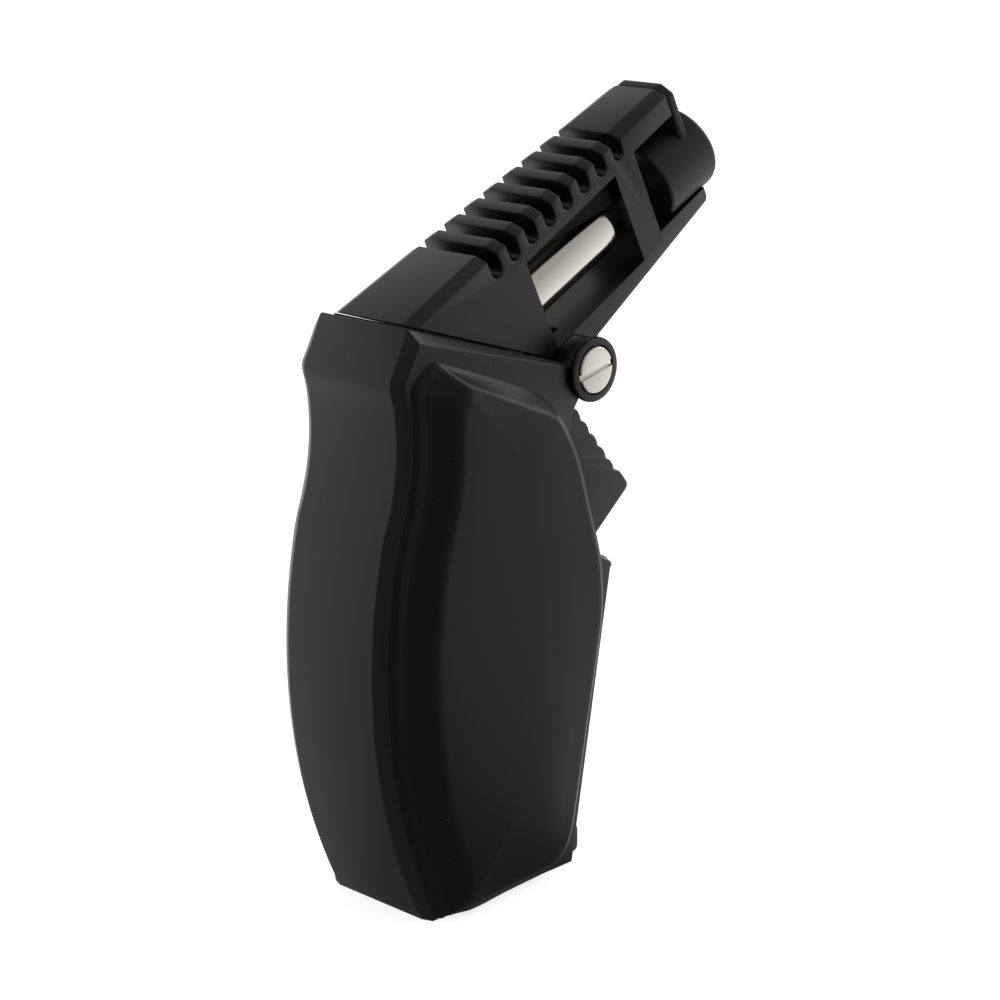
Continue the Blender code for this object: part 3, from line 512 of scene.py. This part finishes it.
def metalLook(name, base, rough, scale=400.0, bump=0.02):
    look = bpy.data.materials.new(name)
    look.use_nodes = True
    tree = look.node_tree
    shader = tree.nodes["Principled BSDF"]
    shader.inputs["Metallic"].default_value = 1.0
    surface = useGroup(tree, grainGroup, Scale=scale, Roughness=rough, Spread=rough * 0.5, Mottle=0.12)
    tinted = addNode(tree, "ShaderNodeVectorMath", operation="SCALE")
    tinted.inputs[0].default_value = base
    tree.links.new(surface.outputs["Shade"], tinted.inputs["Scale"])
    tree.links.new(tinted.outputs[0], shader.inputs["Base Color"])
    tree.links.new(surface.outputs["Roughness"], shader.inputs["Roughness"])
    relief = addNode(tree, "ShaderNodeBump")
    relief.inputs["Distance"].default_value = 0.00001
    relief.inputs["Strength"].default_value = bump
    tree.links.new(surface.outputs["Height"], relief.inputs["Height"])
    tree.links.new(relief.outputs[0], shader.inputs["Normal"])
    return look


blackShell = plasticLook("blackShell", (0.0042, 0.0042, 0.0044), 0.40, 7000.0, bump=0.15, dust=0.055)
coverShell = plasticLook("coverShell", (0.0042, 0.0042, 0.0044), 0.40, 7000.0, bump=0.15, dust=0.055,
                         specular=0.31)
guardBlack = plasticLook("guardBlack", (0.0085, 0.0072, 0.0076), 0.50, 5000.0, bump=0.25, dust=0.055)
collarBlack = plasticLook("collarBlack", (0.004, 0.004, 0.004), 0.30, 6000.0)
nickelPlate = metalLook("nickelPlate", (0.83, 0.79, 0.72), 0.16)
turnedBrass = metalLook("turnedBrass", (0.72, 0.52, 0.22), 0.3)
plainSteel = metalLook("plainSteel", (0.56, 0.56, 0.57), 0.32)
castAlloy = metalLook("castAlloy", (0.6, 0.6, 0.62), 0.45, 900.0, 0.3)
whiteCeramic = plasticLook("whiteCeramic", (0.78, 0.76, 0.7), 0.5, 3000.0, edgeWearAndHighlightColour=(0.6, 0.58, 0.54))
smokeNylon = plasticLook("smokeNylon", (0.32, 0.32, 0.3), 0.3, 2500.0, edgeWearAndHighlightColour=(0.4, 0.4, 0.38))
whiteAcetal = plasticLook("whiteAcetal", (0.7, 0.69, 0.65), 0.45, 3000.0, edgeWearAndHighlightColour=(0.76, 0.75, 0.72))
sealRubber = plasticLook("sealRubber", (0.012, 0.012, 0.012), 0.75, 3000.0, bump=0.3)
hosePlastic = plasticLook("hosePlastic", (0.5, 0.5, 0.46), 0.3, 2000.0, edgeWearAndHighlightColour=(0.5, 0.5, 0.46))
wireBlack = plasticLook("wireBlack", (0.01, 0.01, 0.01), 0.45, 3000.0)
print("materials ready")


# handle frame

handle = {
    "sideHalf": 12.0, "bandHalf": 10.0, "deckAngle": 17.67, "deckDrop": 0.35,
    "backFoot": (-34.0, 0.0), "belly": (-44.5, 43.0), "waistFoot": (-41.4, 68.0), "waist": (-38.5, 83.0),
    "shoulderTop": (-38.35, 95.3), "deckBack": (-35.9, 100.55),
    "frontFoot": (2.3, 0.0), "chin": (11.9, 52.0), "backChamfer": 1.3, "deckChamfer": 1.9, "edgeRadius": 0.28,
    "earRadius": 5.3, "earInner": 8.8, "skinInner": 11.2,
}


def deckHeight(x):
    return hinge.z / mm - handle["deckDrop"] + math.tan(math.radians(handle["deckAngle"])) * (hinge.x / mm - x)


def backLine():  # from the foot up the belly, the waist and the shoulder
    shoulder = [(-39.35, 89.6), (-39.75, 91.2), (-39.8, 92.2), (-39.55, 93.2)]
    return (arcThrough(handle["backFoot"], handle["belly"], handle["waistFoot"], 40)
            + arcThrough(handle["waistFoot"], handle["waist"], (-39.0, 88.4), 22)[:22]
            + [(-39.0, 88.4)] + shoulder + [handle["shoulderTop"]])


def makeHandleFrame():
    pivot = (hinge.x / mm, hinge.z / mm)
    ear = circlePart(pivot, handle["earRadius"], 180 - handle["deckAngle"], -115, 40)
    edgeFront = [(0.6, 80.8), (0.1, 78.0), (0.7, 74.8), (3.0, 66.5), (5.6, 59.2), (7.4, 55.4)]
    chin = [(9.0, 54.35), (9.8, 53.95), (10.5, 53.75), (11.2, 53.4), (11.7, 52.8), handle["chin"]]
    back = backLine()
    outline = back + [handle["deckBack"]] + ear + edgeFront + chin + [handle["frontFoot"]]
    sizes = [handle["backChamfer"]] * len(back) + [handle["deckChamfer"]] + [0.5] * len(ear)
    sizes += [0.5] * 6 + [0.6, 0.6, 0.7, 0.9, 1.2, 1.6, 1.6]
    edge = insetBy(outline, sizes)
    edge[0], edge[-1] = (edge[0][0], 0.0), (edge[-1][0], 0.0)
    edge[len(back)] = (-35.2, 98.4)
    side, band = handle["sideHalf"], handle["bandHalf"]
    piece = ringSolid("handleFrame", [sideRing(edge, -side), sideRing(outline, -band), sideRing(outline, band),
                                      sideRing(edge, side)])
    roundEdges(piece, handle["edgeRadius"], 3, 24)
    rib = [(x, deckHeight(x) + lift) for x, lift in ((-35.3, -2.0), (-35.3, 0.3), (-6, 0.3), (-6, -2.0))]
    combine(piece, [plate("deckRib", rib, -7.5, 7.5)], "UNION")
    inner = insetBy(back + [handle["deckBack"], (0.0, 50.0)], 2.5)[:len(back)]
    inner = [point for point in inner if 5.0 < point[1] < 93.0]
    cavity = ([(inner[0][0] + 1.3, 3.2)] + inner
              + [(-34.2, deckHeight(-34.2) - 3.3), (-5.5, deckHeight(-5.5) - 3.3), (-3.4, 84.0), (-3.4, 76.5),
                 (-0.5, 66.0), (2.2, 58.5), (4.4, 52.6), (8.6, 49.4), (0.5, 3.2)])
    channel = [(-9.0, 83.0), (-9.0, 87.0), (-6.0, 94.0), (5.0, 92.0), (5.0, 84.5), (-1.0, 79.0)]
    corners = ((-24.1, -18.3), (-24.1, 8.0), (0.8, 8.0), (0.8, -18.3))
    mouth = [[triggerAt(p, q, y) for p, q in corners] for y in (-8.9, 8.9)]
    cuts = [plate("cavity", cavity, -handle["skinInner"], handle["skinInner"]),
            plate("pocket", circlePart(pivot, handle["earRadius"] + 0.5, 0, 352, 44), -handle["earInner"],
                  handle["earInner"]),
            plate("channel", channel, -4.2, 4.2), ringSolid("mouth", mouth),
            boxSolid("plateSeat", at(-12.3, 0, 1.0), (39.8, 19.6, 6.0)),
            boxSolid("lipSeat", at(3.0, 0, 1.2), (10.0, 19.6, 9.8)),
            rodSolid("pivotBore", 2.1, at(pivot[0], -14, pivot[1]), at(pivot[0], 14, pivot[1]))]
    combine(piece, cuts)
    smoothBy(piece, 24)
    return finishPiece(piece, "handle", "black_shell", blackShell, "handle_frame")


makeHandleFrame()
print("handle frame made")


# grip covers

cover = {"base": 11.28, "groove": 11.35, "crown": 16.0, "rows": 5, "spineTop": (-15.0, 75.0),
         "spineFoot": (-13.0, 20.0)}


def coverStations():  # where the panel's lines pass, and how far out each stands, all the way round
    back = backLine()
    whole = back + [handle["deckBack"], (8.0, 60.0), handle["frontFoot"]]
    lines = [insetBy(whole, d) for d in (1.25, 2.15, 3.95, 9.2)]
    rows = []
    lastHeight = 0.0
    for i in range(1, len(back)):
        if lines[0][i][1] < lastHeight + 4.0 or not 3.0 < lines[0][i][1] < 88.0:
            continue
        lastHeight = lines[0][i][1]
        a, b, c, d = (line[i] for line in lines)
        rows.append([*a, *b, *c, *d, 13.0, 13.12, 16.0])
    corner = [((-37.7, 89.9), (-36.75, 89.4), (-35.3, 88.9), (-28.7, 87.4), 13.0, 13.12, 16.0),
              ((-37.4, 92.3), (-36.7, 91.2), (-35.3, 90.2), (-28.4, 88.3), 13.0, 13.12, 16.0),
              ((-36.3, 94.3), (-35.4, 92.5), (-34.3, 91.6), (-28.1, 89.1), 13.0, 13.12, 16.0),
              ((-34.8, 95.6), (-33.5, 93.9), (-32.8, 93.1), (-27.8, 89.8), 13.0, 13.12, 15.95),
              ((-32.6, 95.9), (-31.6, 94.8), (-31.1, 94.0), (-27.2, 90.3), 12.75, 12.95, 15.85)]
    top = [((-29.4, 95.0), (-28.7, 93.9), (-28.0, 92.9), (-25.6, 90.0), 12.3, 12.6, 15.7),
           ((-21.6, 92.2), (-21.0, 91.1), (-20.4, 90.2), (-18.8, 87.0), 12.15, 12.45, 15.55),
           ((-13.9, 89.2), (-13.3, 88.1), (-12.8, 87.2), (-11.6, 83.8), 12.15, 12.5, 15.5),
           ((-8.6, 86.8), (-8.1, 85.7), (-7.8, 84.9), (-7.4, 81.9), 12.2, 12.7, 15.45),
           ((-5.6, 84.4), (-5.4, 83.4), (-5.3, 82.9), (-5.8, 80.3), 12.5, 13.3, 15.45),
           ((-3.6, 81.0), (-3.7, 80.4), (-3.9, 80.0), (-4.6, 78.2), 13.2, 14.4, 15.45)]
    front = [((-1.9, 76.4), (-2.0, 76.2), (-2.2, 76.0), (-3.2, 75.3), 14.2, 15.0, 15.5),
             ((-0.5, 72.6), (-0.6, 72.5), (-0.8, 72.4), (-1.8, 71.9), 14.3, 15.05, 15.5),
             ((1.4, 66.4), (1.3, 66.3), (1.1, 66.2), (0.1, 65.8), 14.3, 15.05, 15.5),
             ((3.2, 61.0), (3.1, 60.9), (2.9, 60.8), (1.9, 60.4), 14.3, 15.0, 15.5),
             ((4.7, 56.0), (4.6, 55.9), (4.4, 55.8), (3.4, 55.5), 14.2, 14.9, 15.4),
             ((5.6, 50.5), (5.5, 50.5), (5.3, 50.4), (4.2, 50.3), 14.0, 14.7, 15.3),
             ((5.8, 45.5), (5.7, 45.5), (5.5, 45.5), (4.3, 45.6), 13.8, 14.5, 15.2),
             ((5.0, 39.5), (4.9, 39.5), (4.7, 39.5), (3.5, 39.6), 13.7, 14.4, 15.15),
             ((3.8, 33.0), (3.7, 33.0), (3.5, 33.0), (2.3, 33.2), 13.6, 14.3, 15.1),
             ((1.9, 22.5), (1.8, 22.5), (1.6, 22.6), (0.4, 22.8), 13.5, 14.2, 15.0),
             ((0.1, 12.5), (0.0, 12.5), (-0.2, 12.6), (-1.4, 12.9), 13.4, 14.1, 14.9),
             ((-0.8, 7.8), (-0.9, 7.9), (-1.1, 8.0), (-2.3, 8.5), 13.3, 14.0, 14.8),
             ((-2.1, 3.9), (-2.2, 4.1), (-2.4, 4.4), (-3.6, 5.5), 13.2, 13.9, 14.7),
             ((-4.4, 1.6), (-4.5, 1.9), (-4.7, 2.3), (-5.8, 3.7), 13.2, 13.9, 14.7),
             ((-7.6, 0.8), (-7.7, 1.1), (-7.8, 1.5), (-8.4, 3.1), 13.2, 13.9, 14.7)]
    bottom = [((-13.0, 0.5), (-13.0, 0.9), (-13.0, 1.3), (-13.0, 2.9), 13.3, 14.0, 14.9),
              ((-18.5, 0.4), (-18.5, 0.8), (-18.5, 1.2), (-18.5, 2.8), 13.5, 14.2, 15.2),
              ((-23.5, 0.35), (-23.5, 0.7), (-23.5, 1.1), (-23.3, 2.7), 13.9, 14.6, 15.5),
              ((-27.0, 0.3), (-27.0, 0.6), (-27.0, 1.0), (-26.4, 2.6), 13.9, 14.6, 15.75),
              ((-29.4, 0.3), (-29.4, 0.5), (-29.2, 0.8), (-27.2, 2.9), 13.2, 13.7, 15.9),
              ((-31.4, 0.3), (-31.2, 0.5), (-30.6, 0.7), (-27.8, 3.6), 12.8, 13.1, 16.0),
              ((-33.0, 0.4), (-32.2, 0.6), (-30.9, 1.2), (-28.3, 4.6), 12.9, 13.1, 16.0)]
    for a, b, c, d, *heights in corner + top + front + bottom:
        rows.append([*a, *b, *c, *d, *heights])
    return rows


def makeCover(name, side, node):
    rows = easedRows(coverStations(), cover["rows"])
    top, foot = Vector(cover["spineTop"]), Vector(cover["spineFoot"])
    spine, crown = foot - top, cover["crown"]
    rings = [[] for _ in range(16)]
    for ax, az, bx, bz, cx, cz, dx, dz, stepHeight, ledgeHeight, crestHeight in rows:
        a, b, c, d = Vector((ax, az)), Vector((bx, bz)), Vector((cx, cz)), Vector((dx, dz))
        share = (d - top).dot(spine) / spine.length_squared
        m = top + spine * min(1.0, max(0.0, share))  # the crown gathers on a line down the palm
        rise = crestHeight - ledgeHeight
        across = [(a, cover["base"]), (a, cover["groove"]), (a.lerp(b, 0.25), cover["groove"]),
                  (a.lerp(b, 0.45), cover["groove"] + 0.3), (b, stepHeight - 0.12),
                  (b.lerp(c, 0.14), stepHeight),
                  (c.lerp(b, 0.14), ledgeHeight), (c, ledgeHeight + 0.03 * rise),
                  (c.lerp(d, 0.3), ledgeHeight + 0.3 * rise),
                  (c.lerp(d, 0.62), ledgeHeight + 0.66 * rise), (c.lerp(d, 0.86), ledgeHeight + 0.9 * rise),
                  (d, ledgeHeight + 0.985 * rise),
                  (d.lerp(m, 0.05), crestHeight + 0.02 * (crown - crestHeight)),
                  (d.lerp(m, 0.3), crestHeight + 0.55 * (crown - crestHeight)),
                  (d.lerp(m, 0.65), crestHeight + 0.9 * (crown - crestHeight)), (d.lerp(m, 0.92), crown)]
        for ring, (place, y) in zip(rings, across):
            ring.append(at(place.x, side * y, place.y))
    piece = ringSolid(name, rings)
    smoothBy(piece, 50)
    return finishPiece(piece, "handle", "black_shell", coverShell, node)


makeCover("rightCover", -1, "right_cover")
makeCover("leftCover", 1, "left_cover")
print("grip covers made")


# base plate

def makeBasePlate():
    outline = [(-31.6, 0.0), (-31.6, 2.6), (-0.6, 2.6), (0.3, 5.6), (4.2, 5.6), (5.2, 5.0), (5.5, 4.2),
               (5.5, 0.9), (5.2, 0.2), (4.6, 0.0)]
    piece = plate("basePlate", outline, -9.5, 9.5)
    roundEdges(piece, 0.7, 4, 24)
    cuts = [rodSolid("refillHole", 3.5, at(-23.0, 0, -1), at(-23.0, 0, 4))]
    for x, outer, inner, step in ((-6.5, 4.9, 2.0, 1.7), (-14.5, 2.6, 1.3, 1.4)):
        hole = [(0, -1.0), (outer, -1.0), (outer, step), (inner, step), (inner, 4.0), (0, 4.0)]
        cuts.append(spunSolid("sunkHole", hole, at(x, 0, 0), (0, 0, 1), 48))
    combine(piece, cuts)
    smoothBy(piece)
    return finishPiece(piece, "handle", "black_shell", blackShell, "base_plate")


makeBasePlate()


# trigger

triggerButton = {"half": 8.5, "length": 23.3, "depth": 13.0, "pitch": 3.4, "notchDepth": 0.6,
                 "edgeRadius": 0.45}


def makeTrigger():
    length, depth = triggerButton["length"], triggerButton["depth"]
    face = [(-length, -depth), (-length, -1.2)]
    for k in range(5):
        low = -22.1 + triggerButton["pitch"] * k
        high = low + triggerButton["pitch"]
        face += arcThrough((low, -1.0), ((low + high) / 2, -1.0 + triggerButton["notchDepth"]), (high, -1.0), 8)
    face += [(-5.1, -1.0), (-4.5, -0.35), (-3.8, -0.05), (-2.4, 0.0)]
    face += arcThrough((-1.2, 0.0), (-0.35, -0.35), (0.0, -1.2), 8) + [(0.0, -1.2), (0.0, -depth)]
    rings = [[triggerAt(p, q, y) for p, q in face] for y in (-triggerButton["half"], triggerButton["half"])]
    piece = ringSolid("triggerButton", rings)
    roundEdges(piece, triggerButton["edgeRadius"], 4, 50)
    turn = Matrix((downFace, Vector((0, 1, 0)), pull)).transposed()
    middle = triggerAt(-length / 2, -depth / 2 - 2.4)
    combine(piece, [boxSolid("inside", middle, (length - 3.6, 2 * triggerButton["half"] - 3.4, depth), turn)])
    combine(piece, [boxSolid("pad", triggerAt(-9.0, -3.2), (5.6, 5.0, 3.2), turn)], "UNION")
    smoothBy(piece, 35)
    return finishPiece(piece, "trigger", "black_shell", blackShell, "trigger")


makeTrigger()
print("trigger made")


# head shell

headShell = {
    "frontS": 41.5, "railFrontS": 43.6, "backCorner": (-29.2, 29.1), "slotCount": 8, "firstSlot": -8.3,
    "slotPitch": 4.93, "slotWidth": 2.6, "slotFloor": 24.0, "edgeRadius": 0.28, "wallStart": 23.8,
}


def sideHalf(s):
    return 8.2 - 0.04 * s


def topHalf(s):
    return 6.05 - 0.042 * s


def topLine(s):
    return 28.7 - 0.014 * s


def makeHeadShell():
    front, rail = headShell["frontS"], headShell["railFrontS"]
    deck = 180 - handle["deckAngle"] - 27
    tongue = circlePart((0, 0), 4.9, -4, deck - 362, 40)
    corner = headShell["backCorner"]
    rim = ([(front, topLine(front)), (front, 14.0), (rail, 14.0), (rail, 5.2), (rail - 0.5, 4.4), (8.0, 0.75)]
           + tongue + [corner])
    rings = []
    for share in (-1, -0.74, 0.74, 1):
        ring = []
        for s, n in rim:
            isTop = n > 27.5
            y = share * sideHalf(s)
            drop = 0.0
            if isTop and abs(share) == 1:
                drop = 1.15 if s > 0 else 1.1
            elif isTop:
                y = math.copysign(topHalf(s), share)
            along = 0.9 * drop if s < 0 else 0.0
            ring.append(headAt(s + along, n - drop, y))
        rings.append(ring)
    piece = ringSolid("headShell", rings)
    radius, floorN = headShell["slotWidth"] / 2, headShell["slotFloor"]
    slots = []
    for k in range(headShell["slotCount"]):  # cooling slots with round bottoms, right across the head
        middle = headShell["firstSlot"] + headShell["slotPitch"] * k
        outline = circlePart((middle, floorN + radius), radius, 180, 360, 12)
        outline += [(middle + radius, 33.0), (middle - radius, 33.0)]
        slots.append(headPlate("coolingSlot", outline, 12.0))
    combine(piece, slots)
    roundEdges(piece, headShell["edgeRadius"], 3, 24)
    wall = headShell["wallStart"]
    window = [(-1.9, 5.0), (-1.9, 22.3), (wall, 22.3), (wall, 5.0)]
    opening = [(29.7, 6.9), (29.7, 23.2), (50.0, 23.2), (50.0, 6.9)]
    room = [(-2.4, 4.6), (-2.4, 22.6), (wall, 22.6), (wall, 4.6)]
    wireSlot = [(wall - 1.0, 16.6), (wall - 1.0, 21.3), (31.0, 21.3), (31.0, 16.6)]
    neck = [(-7.0, 4.5), (-6.5, -4.5), (-2.6, -6.5), (3.4, -5.5), (3.6, 1.2), (3.0, 8.0), (-6.0, 16.0),
            (-9.6, 14.0), (-9.6, 8.6)]
    cuts = [headPlate("window", window, 14.0), headPlate("opening", opening, 14.0),
            headPlate("room", room, lambda s: sideHalf(s) - 1.5), headPlate("neck", neck, 3.9),
            rodSolid("jetSeat", 4.7, headAt(-9.0, burnerN), headAt(2.0, burnerN)),
            rodSolid("barrelSeat", 8.2, headAt(33.6, burnerN), headAt(52.0, burnerN), 96),
            rodSolid("neckHole", 3.3, headAt(wall - 1.0, burnerN), headAt(31.0, burnerN)),
            ringSolid("wireSlot", [[headAt(s, n, y) for s, n in wireSlot] for y in (1.4, 3.9)]),
            rodSolid("screwBore", 2.05, headAt(0, 0, -14), headAt(0, 0, 14))]
    combine(piece, cuts)
    smoothBy(piece, 30)
    return finishPiece(piece, "head", "black_shell", blackShell, "head_housing")


makeHeadShell()
print("head shell made")


# nozzle guard

guard = {"radius": 8.15, "start": 34.0, "end": 47.5}


def makeGuard():
    r, start, end = guard["radius"], guard["start"], guard["end"]
    rim = circlePart((end - 1.2, r - 1.2), 1.2, 0, 90, 6)
    profile = [(0, start), (r - 0.3, start), (r, start + 0.3)] + [(n, s) for s, n in rim[::-1]]
    profile += [(r - 1.6, end), (0, end)]
    piece = spunSolid("nozzleGuard", profile, headAt(0, burnerN), alongHead, 96)
    section = [(-4.2, 28.0), (4.2, 28.0), (6.4, 26.3), (6.4, 16.0), (-6.4, 16.0), (-6.4, 26.3)]
    brow = ringSolid("brow", [[headAt(s, n, y) for y, n in section] for s in (41.8, 43.7)])
    roundEdges(brow, 0.5, 4, 24)
    combine(piece, [brow], "UNION")
    bore = [(0, 30.0), (3.4, 30.0), (3.4, 36.2), (7.1, 36.2), (7.1, 46.2), (6.5, 48.5), (0, 48.5)]
    combine(piece, [rodSolid("wireHole", 1.45, headAt(33.0, 17.5, 2.4), headAt(37.0, 17.5, 2.4), 32),
                    spunSolid("bore", bore, headAt(0, burnerN), alongHead, 96)])
    smoothBy(piece, 30)
    return finishPiece(piece, "head", "guard_black", guardBlack, "nozzle_guard")


makeGuard()
print("nozzle guard made")


# hinge

hingeSet = {"collarRadius": 5.55, "screwRadius": 3.95, "slotWidth": 1.1, "slotTilt": -14}


def makeHinge():
    for name, side in (("right", -1), ("left", 1)):
        out = (0, side, 0)
        r = hingeSet["collarRadius"]
        profile = [(2.2, 12.2), (r - 0.25, 12.2), (r, 12.45), (r, 12.85), (r - 0.1, 13.1), (r - 0.35, 13.2),
                   (4.3, 13.2), (4.3, 12.6), (2.2, 12.6)]
        collar = spunSolid("pivotCollar" + name.title(), profile, hinge, out, 72)
        finishPiece(smoothBy(collar), "handle", "collar_black", collarBlack, "pivot_collar_" + name)
        s = hingeSet["screwRadius"]
        profile = ([(0, 4.6), (1.75, 4.6), (1.75, 12.8), (s, 12.8)] + circlePart((s - 0.3, 13.2), 0.3, 0, 90, 5)
                   + [(0, 13.6)])
        screw = spunSolid("pivotScrew" + name.title(), profile, hinge, out, 72)
        turn = Matrix.Rotation(math.radians(hingeSet["slotTilt"]), 3, "Y")
        slotPlace = Vector((hinge.x, side * 13.7 * mm, hinge.z))
        combine(screw, [boxSolid("slot", slotPlace, (9.0, 1.3, hingeSet["slotWidth"]), turn)])
        roundEdges(screw, 0.1, 2, 50)
        finishPiece(smoothBy(screw), "head", "nickel", nickelPlate, "pivot_screw_" + name)


makeHinge()


# burner tube

def makeBurnerTube():
    profile = ([(4.4, -1.0), (5.2, -1.0), (5.2, 21.2)] + circlePart((4.0, 21.2), 1.2, 10, 85, 8)
               + [(3.1, 22.4), (3.1, 21.7), (4.4, 21.2)])
    piece = spunSolid("burnerTube", profile, headAt(0, burnerN), alongHead, 96)
    return finishPiece(smoothBy(piece, 40), "head", "nickel", nickelPlate, "burner_tube")


makeBurnerTube()
print("hinge and burner tube made")


# pieces that keep their CAD shape

slotLook = {"black_shell": blackShell, "guard_black": guardBlack, "collar_black": collarBlack,
            "nickel": nickelPlate,
            "brass": turnedBrass, "steel": plainSteel, "alloy": castAlloy, "ceramic": whiteCeramic,
            "smoke_plastic": smokeNylon, "piezo_plastic": whiteAcetal, "seal_rubber": sealRubber,
            "hose_plastic": hosePlastic, "wire_insulation": wireBlack}
for row in frame["record"]["subparts"]:
    node = frame["nodes"][row["node"]]
    node.data.materials.clear()
    node.data.materials.append(slotLook[row["material_slot"]])

print("all pieces made")
